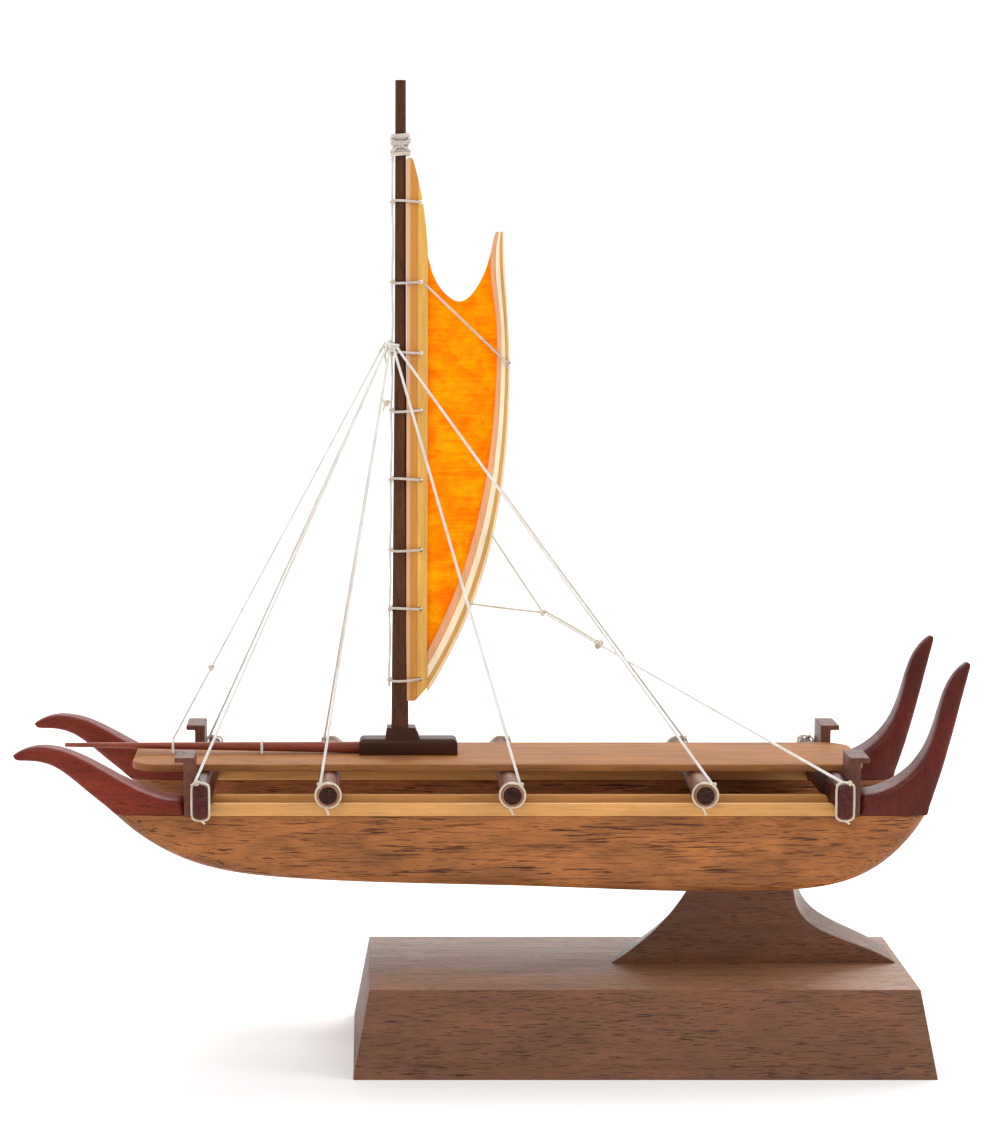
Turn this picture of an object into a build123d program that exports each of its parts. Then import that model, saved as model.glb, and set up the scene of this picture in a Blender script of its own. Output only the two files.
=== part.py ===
from build123d import *
import os
from math import cos, radians, sin

# Desk model of a double-hulled sailing canoe on its stand, in millimetres.
# X runs from bow (-) to stern (+), Y across the hulls, Z up from the table.
# The origin is on the underside of the stand, under the canoe's centre plane.

# stand
BASE_HALF_TOP = 49.5
BASE_HALF_FOOT = 52.4
BASE_HEIGHT = 15.8
BASE_FRONT_TOP = -27.6
BASE_BACK_TOP = 14.9
BASE_SLOPE = 2.8
PEDESTAL_FRONT = -7.0
PEDESTAL_BACK = 7.0
NECK_TOP = 36.0
BOLSTER_LEFT = 8.0
BOLSTER_RIGHT = 33.0
BOLSTER_TOP = 42.0
DOWEL_RADIUS = 1.6
DOWEL_DEPTH = 8.5
BASE_DOWEL_X = (13.0, 27.0)
BOLSTER_DOWEL_X = (18.0, 26.0)

# hulls
HULL_CENTRE = 18.5
HULL_BREADTH = 9.8
HULL_BOW = -95.8
HULL_STERN = 51.3
HULL_TOP = 46.6
KEEL_ROUND = 3.0
FINE_END = 0.68
STRIP_WIDTH = 1.0
STRIP_TOP = 48.95

# beams and deck
BEAM_RADIUS = 1.95
BEAM_HALF_LENGTH = 26.4
BEAM_X = (-56.9, -23.9, 10.6)
END_BEAM_WIDTH = 2.5
BOW_BEAM_X = -79.75
STERN_BEAM_X = 35.65
DECK_BOW = -93.2
DECK_STERN = 41.5
DECK_HALF_WIDTH = 12.5
DECK_THICKNESS = 1.35
DECK_CORNER = 5.0

# hooks at the ends of the hulls
HOOK_POST = 1.9
HOOK_ARM = 1.65
HOOK_ARM_HEIGHT = 0.95
HOOK_TOP = 57.2
HOOK_BREADTH = 9.3

# mast and its step
MAST_X = -43.8
MAST_TOP = 178.7
MAST_FOOT_RADIUS = 1.62
MAST_MIDDLE_RADIUS = 1.06
MAST_TIP_RADIUS = 0.97
TAPER_START = 60.0
TAPER_END = 131.0
STEP_BOW = -51.4
STEP_STERN = -33.1
STEP_HALF_WIDTH = 2.8
STEP_HEIGHT = 3.1
COLLAR_HEIGHT = 2.0
RUNNING_GAP = 0.1

# bowsprit
SPRIT_TIP = -106.4
SPRIT_TIP_RADIUS = 0.4
SPRIT_FOOT_RADIUS = 1.1
SPRIT_RISE = 0.45

# sail, luff spar and laminated boom
LUFF_EDGE = -38.75
LUFF_FRONT = -42.65
LUFF_HALF_THICKNESS = 1.1
LUFF_FOOT = 64.2
LUFF_HEAD = 164.75
SAIL_THICKNESS = 0.6
BOOM_THICKNESS = 2.0
BOOM_INSIDE = ((-26.25, 151.2), (-27.2, 146.8), (-26.3, 136.0), (-26.15, 124.0),
               (-27.1, 111.7), (-30.8, 92.9), (-35.9, 79.2), (-40.6, 70.2))
BOOM_OUTSIDE = ((-24.9, 151.2), (-24.75, 147.2), (-24.0, 136.0), (-23.6, 125.0),
                (-24.1, 111.7), (-27.0, 92.9), (-32.9, 76.2), (-40.4, 63.2))
LAMINATIONS = (("boom_inner", 0.0, 0.34), ("boom_cream", 0.34, 0.66),
               ("boom_core", 0.66, 0.84), ("boom_outer", 0.84, 1.0))
ROBAND_HEIGHTS = (156.55, 141.95, 128.9, 118.4, 105.5, 92.5, 81.45, 68.3)
ROBAND_HOLE_X = -40.05
ROBAND_HOLE_RADIUS = 0.4
ROBAND_BEND = 0.5

# cords
THREAD_RADIUS = 0.275
THIN_THREAD_RADIUS = 0.25
LASHING_Y = 25.7
TOUCH_GAP = 0.02
SHROUD_HEAD = (-45.0, 1.9, 130.6)
SHROUD_SPACING = 0.58
KNOT_TURN_RADIUS = 0.42
FORESTAY_HEAD = (-46.6, 0.0, 130.9)
FORESTAY_FOOT_X = -86.2
BRIDLE_MEETING = (-17.5, -5.7, 81.4)
SHEET_END = (35.0, -25.8, 53.3)
SHEET_KNOT_AT = 0.19
LACING_TOP = (-45.75, 0.0, 164.0)
LACING_FOOT = (-46.35, 0.0, 67.0)

BEAM_Z = STRIP_TOP + BEAM_RADIUS
DECK_UNDER = BEAM_Z + BEAM_RADIUS
DECK_TOP = DECK_UNDER + DECK_THICKNESS
STEP_TOP = DECK_TOP + STEP_HEIGHT
COLLAR_TOP = STEP_TOP + COLLAR_HEIGHT
BOW_POST_X = BOW_BEAM_X - END_BEAM_WIDTH / 2 - HOOK_POST / 2
STERN_POST_X = STERN_BEAM_X + END_BEAM_WIDTH / 2 + HOOK_POST / 2
BOW_BUTT_X = BOW_POST_X - HOOK_POST / 2
STERN_BUTT_X = STERN_POST_X + HOOK_POST / 2
SIDES = (("near", -1), ("far", 1))


def block(x0, x1, y0, y1, z0, z1):
    """A rectangular block between two corners."""
    centre = ((x0 + x1) / 2, (y0 + y1) / 2, (z0 + z1) / 2)
    return Pos(*centre) * Box(x1 - x0, y1 - y0, z1 - z0)


def side_slab(edges, y0, y1):
    """A closed side-view outline given a thickness from y0 to y1."""
    face = Plane.XZ * make_face(edges)
    return Pos(0, (y0 + y1) / 2, 0) * extrude(face, (y1 - y0) / 2, both=True)


def rod(start, end, radius, end_radius=None):
    """A straight round rod or thread between two points, tapered if asked."""
    start, end = Vector(*start), Vector(*end)
    plane = Plane(origin=start, z_dir=end - start)
    length = (end - start).length
    if end_radius is None:
        return plane * extrude(Circle(radius), length)
    return plane * Pos(0, 0, length / 2) * Cone(radius, end_radius, length)


def along(start, end, share):
    """The point a share of the way from start to end."""
    return tuple(a + (b - a) * share for a, b in zip(start, end))


def swept_thread(path, radius):
    """A thread of one radius that follows a wire."""
    section = Plane(origin=path @ 0, z_dir=path % 0) * Circle(radius)
    return sweep(section, path=path)


def centre_of(side):
    """The Y of a hull's centre plane."""
    return side * HULL_CENTRE


def make_stand_base():
    """The block with four sloping sides, and holes for the pedestal's dowels."""
    middle = (BASE_FRONT_TOP + BASE_BACK_TOP) / 2
    depth = BASE_BACK_TOP - BASE_FRONT_TOP
    foot = Pos(0, middle, 0) * Rectangle(2 * BASE_HALF_FOOT, depth + 2 * BASE_SLOPE)
    top = Pos(0, middle, BASE_HEIGHT) * Rectangle(2 * BASE_HALF_TOP, depth)
    return loft([foot, top], ruled=True) - make_base_dowels()


def pedestal_outline(y, left_shift, right_shift):
    """The pedestal's side view at one depth, moved aft a little towards the back."""
    foot = BASE_HEIGHT
    left = Spline((-4.6 + left_shift, foot), (8.6 + left_shift, 28.4), (12.5 + left_shift, NECK_TOP))
    top = Line(left @ 1, (29.0 + right_shift, NECK_TOP))
    right = Spline(top @ 1, (30.6 + right_shift, 25.2), (48.4, foot), tangents=((0, -1), (1, -0.7)))
    edges = [left, top, right, Line(right @ 1, left @ 0)]
    return Pos(0, y, 0) * (Plane.XZ * make_face(edges))


def make_pedestal():
    """The flared pedestal, wider aft at its back than at its front."""
    front = pedestal_outline(PEDESTAL_FRONT, 0.0, 0.0)
    back = pedestal_outline(PEDESTAL_BACK, 4.2, 2.4)
    return loft([front, back], ruled=True) - make_base_dowels() - make_bolster_dowels()


def dowels(x_places, z_joint):
    """Upright dowels half above and half below a joint."""
    pin = Cylinder(DOWEL_RADIUS, 2 * DOWEL_DEPTH)
    return Compound([Pos(x, 0, z_joint) * pin for x in x_places])


def make_base_dowels():
    """The two dowels between the base and the pedestal."""
    return dowels(BASE_DOWEL_X, BASE_HEIGHT)


def make_bolster_dowels():
    """The two dowels between the pedestal and the bolster."""
    pin = Cylinder(DOWEL_RADIUS, DOWEL_DEPTH + BOLSTER_TOP - NECK_TOP)
    middle = (BOLSTER_TOP + NECK_TOP - DOWEL_DEPTH) / 2
    return Compound([Pos(x, 0, middle) * pin for x in BOLSTER_DOWEL_X])


def make_bolster():
    """The cross block between the hulls that sits on the pedestal."""
    reach = HULL_CENTRE - HULL_BREADTH / 2
    blank = block(BOLSTER_LEFT, BOLSTER_RIGHT, -reach, reach, NECK_TOP, BOLSTER_TOP)
    return blank - make_bolster_dowels()


def hull_plan(side):
    """The hull's plan, straight amidships and finer towards both ends."""
    half = HULL_BREADTH / 2
    edges = []
    for across in (-half, half):
        middle = Line((-55.0, across), (20.0, across))
        narrow = across * FINE_END
        edges.append(middle)
        edges.append(TangentArc(middle @ 0, (HULL_BOW - 5, narrow), tangent=(-1, 0)))
        edges.append(TangentArc(middle @ 1, (HULL_STERN + 5, narrow), tangent=(1, 0)))
    edges.append(Line(edges[1] @ 1, edges[4] @ 1))
    edges.append(Line(edges[2] @ 1, edges[5] @ 1))
    return Pos(0, centre_of(side), 0) * make_face(edges)


def make_hull(side):
    """A solid hull with a flat top, a curved keel and a rounded bottom."""
    keel = Spline((HULL_BOW - 3, HULL_TOP + 3.4), (HULL_BOW, HULL_TOP), (-82.2, 37.95), (-64.0, 34.8),
                  (-20.0, 33.3), (24.0, 32.5), (40.2, 35.6), (HULL_STERN, HULL_TOP),
                  (HULL_STERN + 2, HULL_TOP + 4.5))
    above = HULL_TOP + 12
    bow_end = Line(keel @ 0, ((keel @ 0).X, above))
    stern_end = Line(keel @ 1, ((keel @ 1).X, above))
    y = centre_of(side)
    outline = [keel, bow_end, stern_end, Line(bow_end @ 1, stern_end @ 1)]
    blank = side_slab(outline, y - HULL_BREADTH, y + HULL_BREADTH) & extrude(hull_plan(side), above + 5)
    bottom = [edge for edge in blank.edges() if edge.length > 30 and edge.bounding_box().min.Z < above - 1]
    blank = fillet(bottom, KEEL_ROUND)
    return blank & block(HULL_BOW - 10, HULL_STERN + 10, y - HULL_BREADTH, y + HULL_BREADTH, 0, HULL_TOP)


def make_strip(y_outer, toward):
    """A gunwale strip between the two end beams, with its outer face at y_outer."""
    x0 = BOW_BEAM_X + END_BEAM_WIDTH / 2
    x1 = STERN_BEAM_X - END_BEAM_WIDTH / 2
    y1 = y_outer + toward * STRIP_WIDTH
    strip = block(x0, x1, min(y_outer, y1), max(y_outer, y1), HULL_TOP, STRIP_TOP)
    return fillet(strip.edges().filter_by(Axis.Y).group_by(Axis.Z)[-1], 1.2)


def make_bow_piece(side):
    """The swept bow: low where it meets the hook and curving up to a rounded tip."""
    upper = Spline((BOW_BUTT_X, 49.3), (-92.8, 52.1), (-100.4, 56.35), (-107.5, 58.8), (-114.0, 57.0))
    nose = Line(upper @ 1, (-113.6, 56.0))
    lower = Spline(nose @ 1, (-107.0, 55.2), (-102.0, 51.8), (-95.3, HULL_TOP),
                   tangents=((1, 0), (0.85, -0.6)))
    foot = Line(lower @ 1, (BOW_BUTT_X, HULL_TOP))
    outline = [upper, nose, lower, foot, Line(foot @ 1, upper @ 0)]
    y = centre_of(side)
    blank = side_slab(outline, y - 6, y + 6)
    aft, tip = BOW_BUTT_X + 1, -115.0
    port = Spline((aft, y + 4.45), (-100.0, y + 3.3), (tip, y + 1.3))
    starboard = Spline((aft, y - 4.45), (-100.0, y - 3.3), (tip, y - 1.3))
    ends = [Line(port @ 0, starboard @ 0), Line(port @ 1, starboard @ 1)]
    return blank & extrude(make_face([port, starboard] + ends), 80)


def make_stern_piece(side):
    """The stern horn: a flat tongue on the hull that turns up to a narrow tip."""
    inner = Spline((STERN_BUTT_X, 50.4), (44.5, 51.8), (49.25, 55.5),
                   (52.4, 62.1), (54.5, 69.5), (58.2, 74.1))
    crown = Line(inner @ 1, (59.0, 73.9))
    outer = Spline(crown @ 1, (56.4, 63.55), (53.4, 53.4), (51.1, HULL_TOP))
    foot = Line(outer @ 1, (STERN_BUTT_X, HULL_TOP))
    y = centre_of(side)
    blank = side_slab([inner, crown, outer, foot, Line(foot @ 1, inner @ 0)], y - 6, y + 6)
    low, high = HULL_TOP - 1, 76.0
    waist = 54.0
    taper = Polyline((y - 4.4, low), (y - 4.2, waist), (y - 1.3, high), (y + 1.3, high),
                     (y + 4.2, waist), (y + 4.4, low), close=True)
    return blank & extrude(Plane.YZ * make_face(taper), 80)


def make_deck():
    """The flat deck that lies on the beams, with rounded corners."""
    middle = (DECK_BOW + DECK_STERN) / 2
    plan = RectangleRounded(DECK_STERN - DECK_BOW, 2 * DECK_HALF_WIDTH, DECK_CORNER)
    return Pos(middle, 0, DECK_UNDER) * extrude(plan, DECK_THICKNESS)


def make_cross_beam(x):
    """A dowel across both hulls, with softened ends."""
    beam = Pos(x, 0, BEAM_Z) * Rot(90, 0, 0) * Cylinder(BEAM_RADIUS, 2 * BEAM_HALF_LENGTH)
    return chamfer(beam.edges().filter_by(GeomType.CIRCLE), 0.25)


def make_end_beam(x):
    """A flat beam on edge across the hull tops, with rounded edges."""
    height = DECK_UNDER - HULL_TOP
    section = Plane.XZ * RectangleRounded(END_BEAM_WIDTH, height, 1.0)
    return Pos(x, 0, HULL_TOP + height / 2) * extrude(section, BEAM_HALF_LENGTH, both=True)


def make_hook(x_post, outward, side):
    """An upright plate whose top turns outward over the end of the hull."""
    y = centre_of(side)
    half = HOOK_BREADTH / 2
    post = block(x_post - HOOK_POST / 2, x_post + HOOK_POST / 2, y - half, y + half, HULL_TOP, HOOK_TOP)
    face = x_post + outward * HOOK_POST / 2
    tip = face + outward * HOOK_ARM
    under = HOOK_TOP - HOOK_ARM_HEIGHT
    return post + block(min(face, tip), max(face, tip), y - half, y + half, under, HOOK_TOP)


def mast_profile(extra=0.0):
    """Half of the mast's outline, with its radius made larger by extra."""
    foot, head = DECK_TOP, MAST_TOP
    radii = (MAST_FOOT_RADIUS + extra, MAST_MIDDLE_RADIUS + extra, MAST_TIP_RADIUS + extra)
    points = [(0, foot), (radii[0], foot), (radii[0], TAPER_START), (radii[1], TAPER_END),
              (radii[2], head), (0, head)]
    return Plane.XZ * make_face(Polyline(*points, close=True))


def mast_solid(extra=0.0):
    """The round tapered mast, standing on the deck."""
    return Pos(MAST_X, 0, 0) * revolve(mast_profile(extra), Axis.Z)


def mast_radius(z):
    """The mast's radius at a height."""
    if z < TAPER_END:
        share = (z - TAPER_START) / (TAPER_END - TAPER_START)
        return MAST_FOOT_RADIUS + (MAST_MIDDLE_RADIUS - MAST_FOOT_RADIUS) * share
    share = (z - TAPER_END) / (MAST_TOP - TAPER_END)
    return MAST_MIDDLE_RADIUS + (MAST_TIP_RADIUS - MAST_MIDDLE_RADIUS) * share


def make_mast_step():
    """The long block with a raised collar that holds the mast's foot."""
    base = block(STEP_BOW, STEP_STERN, -STEP_HALF_WIDTH, STEP_HALF_WIDTH, DECK_TOP, STEP_TOP)
    base = fillet(base.edges().group_by(Axis.Z)[-1], 1.1)
    outline = Polyline((-46.6, STEP_TOP - 0.5), (-46.2, COLLAR_TOP), (-41.0, COLLAR_TOP),
                       (-39.9, STEP_TOP - 0.5), close=True)
    collar = side_slab(outline, -2.2, 2.2)
    socket = Pos(MAST_X, 0, DECK_TOP + 5) * Cylinder(MAST_FOOT_RADIUS, 12)
    return base + collar - socket


def sprit_line():
    """The two ends of the bowsprit's centre line."""
    foot = (STEP_BOW, 0, DECK_TOP + SPRIT_FOOT_RADIUS)
    return foot, (SPRIT_TIP, 0, DECK_TOP + SPRIT_FOOT_RADIUS + SPRIT_RISE)


def make_bowsprit():
    """The thin rod that runs forward from the mast step over the bow."""
    foot, tip = sprit_line()
    level_foot = (foot[0], 0, tip[2] - SPRIT_RISE)
    return rod(level_foot, tip, SPRIT_FOOT_RADIUS, SPRIT_TIP_RADIUS) - make_mast_step() - make_deck()


def make_luff_spar():
    """The spar beside the mast, hollowed to turn round it and drilled for the robands."""
    head_curve = ThreePointArc((LUFF_EDGE, 147.5), (-39.7, 156.5), (-41.5, LUFF_HEAD - 0.4))
    edges = Polyline(head_curve @ 1, (-42.2, LUFF_HEAD), (-42.75, LUFF_HEAD - 0.5), (LUFF_FRONT, 131.0),
                     (LUFF_FRONT, LUFF_FOOT), (-41.0, LUFF_FOOT), (LUFF_EDGE, 66.7), head_curve @ 0)
    spar = side_slab([head_curve] + list(edges.edges()), -LUFF_HALF_THICKNESS, LUFF_HALF_THICKNESS)
    drill = Rot(90, 0, 0) * Cylinder(ROBAND_HOLE_RADIUS, 4 * LUFF_HALF_THICKNESS)
    holes = [Pos(ROBAND_HOLE_X, 0, z) * drill for z in ROBAND_HEIGHTS]
    return spar - mast_solid(RUNNING_GAP) - Compound(holes)


def boom_curve(share):
    """A curve a share of the way from the boom's inside to its outside."""
    return Spline(*[along(a, b, share) for a, b in zip(BOOM_INSIDE, BOOM_OUTSIDE)])


def make_lamination(inside, outside):
    """One of the bent strips that the boom is glued up from."""
    near, away = boom_curve(inside), boom_curve(outside)
    edges = [near, Line(near @ 1, away @ 1), away, Line(away @ 0, near @ 0)]
    half = BOOM_THICKNESS / 2
    strip = side_slab(edges, -half, half)
    return strip - block(-60, LUFF_EDGE, -5, 5, 50, 170)


def make_sail():
    """The thin stiff sail, between the spar, the boom and the hollow head."""
    half = SAIL_THICKNESS / 2
    bent = boom_curve(0)
    edges = [bent, *Polyline(bent @ 1, (LUFF_EDGE - 5, 70.2), (LUFF_EDGE - 5, 151.2), bent @ 0).edges()]
    plate = side_slab(edges, -half, half) & block(LUFF_EDGE, 0, -5, 5, 50, 170)
    leech = Spline((-40.2, 153.5), (-38.2, 144.6), (-35.6, 139.9), (-32.9, 138.4),
                   (-29.6, 141.2), (-27.0, 148.2), (-25.5, 153.5))
    above = [leech, *Polyline(leech @ 1, (-25.5, 160), (-40.2, 160), leech @ 0).edges()]
    return plate - side_slab(above, -5, 5)


def make_robands():
    """Eight thread loops, each round the mast and through a hole in the spar."""
    loops = []
    for z in ROBAND_HEIGHTS:
        reach = mast_radius(z) + 0.08 + THREAD_RADIUS
        back = ThreePointArc((MAST_X, reach, z), (MAST_X - reach, 0, z), (MAST_X, -reach, z))
        front = FilletPolyline((MAST_X, -reach, z), (ROBAND_HOLE_X, -reach, z),
                               (ROBAND_HOLE_X, reach, z), (MAST_X, reach, z), radius=ROBAND_BEND)
        loops.append(swept_thread(Wire([back] + list(front.edges())), THREAD_RADIUS))
    return Compound(loops)


def make_lacing_line():
    """The taut line down the mast that the robands are tied against."""
    return rod(LACING_TOP, LACING_FOOT, THIN_THREAD_RADIUS)


def make_masthead_lashing():
    """Turns of thread round the mast above the spar."""
    turns = []
    for i in range(6):
        z = 165.2 + i * 0.72
        ring = mast_radius(z) + TOUCH_GAP + THREAD_RADIUS
        turns.append(Pos(MAST_X, 0, z) * Torus(ring, THREAD_RADIUS))
    return Compound(turns)


def make_shroud_knots():
    """A turn round the front of the mast, a knot on each side and one in front."""
    ring = mast_radius(SHROUD_HEAD[2]) + TOUCH_GAP + KNOT_TURN_RADIUS
    turns = [radians(angle) for angle in (115, 180, 245)]
    points = [(MAST_X + ring * cos(turn), ring * sin(turn), SHROUD_HEAD[2]) for turn in turns]
    cluster = swept_thread(Wire([ThreePointArc(*points)]), KNOT_TURN_RADIUS)
    for name, side in SIDES:
        cluster = cluster + Pos(SHROUD_HEAD[0], side * 1.75, SHROUD_HEAD[2] + 0.1) * Sphere(0.85)
    return cluster + Pos(FORESTAY_HEAD[0] + 0.7, 0, FORESTAY_HEAD[2] - 0.15) * Sphere(0.75)


def shroud_foot(number, side):
    """Where a shroud meets the lashing at its beam's end."""
    if number == 1:
        return (BOW_BEAM_X - 1.2, side * (LASHING_Y - 0.3), DECK_UNDER - 0.2)
    lean = -1 if number == 2 else 1
    x = BEAM_X[number - 2]
    ring = BEAM_RADIUS + THREAD_RADIUS
    return (x + lean * ring * cos(radians(50)), side * (LASHING_Y - 0.3), BEAM_Z + ring * sin(radians(50)))


def make_shroud(number, side):
    """A taut thread from the mast to the end of one beam."""
    head = (SHROUD_HEAD[0] + (number - 2.5) * SHROUD_SPACING, side * SHROUD_HEAD[1], SHROUD_HEAD[2])
    return rod(head, shroud_foot(number, side), THREAD_RADIUS)


def make_forestay():
    """The taut thread from the mast down to the bowsprit."""
    foot, tip = sprit_line()
    share = (FORESTAY_FOOT_X - foot[0]) / (tip[0] - foot[0])
    landing = along(foot, tip, share)
    radius = SPRIT_FOOT_RADIUS + (SPRIT_TIP_RADIUS - SPRIT_FOOT_RADIUS) * share
    end = (landing[0], 0, landing[2] + radius + 0.6)
    return rod(FORESTAY_HEAD, end, THIN_THREAD_RADIUS)


def make_bowsprit_ties():
    """Two turns of thread over the bowsprit with their ends in the deck."""
    foot, tip = sprit_line()
    ties = []
    for x in (-69.6, FORESTAY_FOOT_X):
        share = (x - foot[0]) / (tip[0] - foot[0])
        z = along(foot, tip, share)[2]
        radius = SPRIT_FOOT_RADIUS + (SPRIT_TIP_RADIUS - SPRIT_FOOT_RADIUS) * share
        ring = radius + TOUCH_GAP + THREAD_RADIUS
        drop = z - DECK_TOP
        over = ThreePointArc((x, -ring, z), (x, 0, z + ring), (x, ring, z))
        legs = [Line((x, -ring, z - drop), over @ 0), Line(over @ 1, (x, ring, z - drop))]
        ties.append(swept_thread(Wire([legs[0], over, legs[1]]), THREAD_RADIUS))
    return Compound(ties)


def make_beam_lashings():
    """A ring of thread round each end of the three round beams."""
    ring = Rot(90, 0, 0) * Torus(BEAM_RADIUS + TOUCH_GAP + THREAD_RADIUS, THREAD_RADIUS)
    return Compound([Pos(x, side * LASHING_Y, BEAM_Z) * ring for x in BEAM_X for name, side in SIDES])


def make_end_beam_lashings():
    """A loop of thread round each end of the two flat beams."""
    height = DECK_UNDER - HULL_TOP
    grow = 2 * (TOUCH_GAP + THREAD_RADIUS)
    outline = Plane.XZ * RectangleRounded(END_BEAM_WIDTH + grow, height + grow, 1.0 + grow / 2)
    loop = swept_thread(outline.wire(), THREAD_RADIUS)
    middle = HULL_TOP + height / 2
    places = [(x, side * LASHING_Y) for x in (BOW_BEAM_X, STERN_BEAM_X) for name, side in SIDES]
    return Compound([Pos(x, y, middle) * loop for x, y in places])


def make_bridle():
    """Two short legs from the boom that meet in a small knot."""
    face = -BOOM_THICKNESS / 2
    legs = [rod((x, face, z), BRIDLE_MEETING, THIN_THREAD_RADIUS) for x, z in ((-27.0, 95.6), (-31.0, 82.5))]
    return legs[0] + legs[1] + Pos(*BRIDLE_MEETING) * Sphere(0.6)


def make_sheet():
    """The taut line from the bridle to the stern beam, with a knot near its head."""
    whole = (Vector(*SHEET_END) - Vector(*BRIDLE_MEETING)).length
    start = along(BRIDLE_MEETING, SHEET_END, 0.75 / whole)
    knot = along(BRIDLE_MEETING, SHEET_END, SHEET_KNOT_AT)
    return rod(start, SHEET_END, THREAD_RADIUS) + Pos(*knot) * Sphere(1.0)


def make_brace_line():
    """The short thread across the sail's head from the spar to the boom."""
    y = -LUFF_HALF_THICKNESS - THREAD_RADIUS - TOUCH_GAP
    return rod((-39.3, y, 141.6), (-23.9, y, 126.9), THREAD_RADIUS)


def make_parts():
    """Every named piece of the model."""
    parts = {
        "stand_base": make_stand_base(),
        "pedestal": make_pedestal(),
        "base_dowels": make_base_dowels(),
        "bolster_dowels": make_bolster_dowels(),
        "bolster": make_bolster(),
        "deck": make_deck(),
        "end_beam_bow": make_end_beam(BOW_BEAM_X),
        "end_beam_stern": make_end_beam(STERN_BEAM_X),
        "mast_step": make_mast_step(),
        "mast": mast_solid(),
        "bowsprit": make_bowsprit(),
        "luff_spar": make_luff_spar(),
        "sail": make_sail(),
        "robands": make_robands(),
        "lacing_line": make_lacing_line(),
        "masthead_lashing": make_masthead_lashing(),
        "shroud_knots": make_shroud_knots(),
        "forestay": make_forestay(),
        "bowsprit_ties": make_bowsprit_ties(),
        "beam_lashings": make_beam_lashings(),
        "end_beam_lashings": make_end_beam_lashings(),
        "bridle": make_bridle(),
        "sheet": make_sheet(),
        "brace_line": make_brace_line(),
    }
    for name, inside, outside in LAMINATIONS:
        parts[name] = make_lamination(inside, outside)
    for number, x in enumerate(BEAM_X, 1):
        parts[f"cross_beam_{number}"] = make_cross_beam(x)
    for name, side in SIDES:
        y = centre_of(side)
        half = HULL_BREADTH / 2
        parts[f"hull_{name}"] = make_hull(side)
        parts[f"strip_{name}_outer"] = make_strip(y + side * half, -side)
        parts[f"strip_{name}_inner"] = make_strip(y - side * half, side)
        parts[f"bow_piece_{name}"] = make_bow_piece(side)
        parts[f"stern_piece_{name}"] = make_stern_piece(side)
        parts[f"hook_bow_{name}"] = make_hook(BOW_POST_X, -1, side)
        parts[f"hook_stern_{name}"] = make_hook(STERN_POST_X, 1, side)
        for number in (1, 2, 3, 4):
            parts[f"shroud_{number}_{name}"] = make_shroud(number, side)
    return parts


os.makedirs("parts", exist_ok=True)
for part_name, solid in make_parts().items():
    export_step(solid, f"parts/{part_name}.step")
    print(part_name, len(solid.solids()), round(solid.volume, 2))
print("roband bend radius", ROBAND_BEND)
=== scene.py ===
"""Builds the finish of a double-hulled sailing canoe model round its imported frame."""

import math

import bmesh
import bpy
from bpy.props import FloatProperty, FloatVectorProperty, IntProperty, PointerProperty
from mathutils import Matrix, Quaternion, Vector


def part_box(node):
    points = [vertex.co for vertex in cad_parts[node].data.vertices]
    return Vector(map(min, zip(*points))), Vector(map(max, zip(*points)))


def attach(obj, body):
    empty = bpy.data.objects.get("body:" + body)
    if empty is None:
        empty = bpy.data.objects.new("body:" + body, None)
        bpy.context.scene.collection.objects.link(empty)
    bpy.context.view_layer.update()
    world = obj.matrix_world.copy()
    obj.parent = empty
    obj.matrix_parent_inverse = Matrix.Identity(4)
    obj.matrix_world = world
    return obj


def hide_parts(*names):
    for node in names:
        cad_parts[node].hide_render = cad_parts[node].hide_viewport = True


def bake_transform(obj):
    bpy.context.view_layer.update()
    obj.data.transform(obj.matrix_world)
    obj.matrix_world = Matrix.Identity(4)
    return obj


bl_info = {
    "name": "Double-hulled sailing canoe model",
    "version": (1, 0, 0),
    "blender": (4, 5, 0),
    "location": "View3D > Sidebar > Canoe",
    "description": "Wood, thread and stage for a desk model of a sailing canoe",
    "category": "Add Mesh",
}

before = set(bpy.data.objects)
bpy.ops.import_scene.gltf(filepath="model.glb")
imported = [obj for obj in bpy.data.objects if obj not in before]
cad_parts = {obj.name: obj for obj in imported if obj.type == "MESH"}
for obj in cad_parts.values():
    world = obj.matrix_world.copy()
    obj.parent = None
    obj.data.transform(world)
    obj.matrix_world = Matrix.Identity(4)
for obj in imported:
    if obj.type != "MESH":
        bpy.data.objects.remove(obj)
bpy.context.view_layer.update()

# ---------------------------------------------------------------- places, in metres

SIDES = (("near", -1), ("far", 1))

MAST_X = -0.0438
MAST_TAPER_START = 0.060
MAST_TAPER_END = 0.131
MAST_TOP = 0.1787
MAST_RADII = (0.00162, 0.00106, 0.00097)

SHROUD_HEAD = (-0.0454, 0.0019, 0.1301)
SHROUD_SPACING = 0.00058
FORESTAY_HEAD = (-0.0466, 0.0, 0.1309)
FORESTAY_KNOT_AT = 0.818
LOW_STAY_KNOT = (-0.0463, -0.0006, 0.1197)
STAY_KNOT_TAILS = (
    ((-0.0459, -0.0018, 0.1299), (-0.0468, -0.0019, 0.1290), (-0.0465, -0.0016, 0.1276),
     (-0.0462, -0.0014, 0.1262)),
    ((-0.0464, -0.0012, 0.1301), (-0.0472, -0.0014, 0.1300), (-0.0476, -0.0013, 0.1292)),
    ((-0.0463, -0.0008, 0.1197), (-0.0470, -0.0010, 0.1201), (-0.0473, -0.0010, 0.1209)),
    ((-0.0463, -0.0008, 0.1196), (-0.0469, -0.0011, 0.1190), (-0.0470, -0.0010, 0.1182)))

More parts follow.
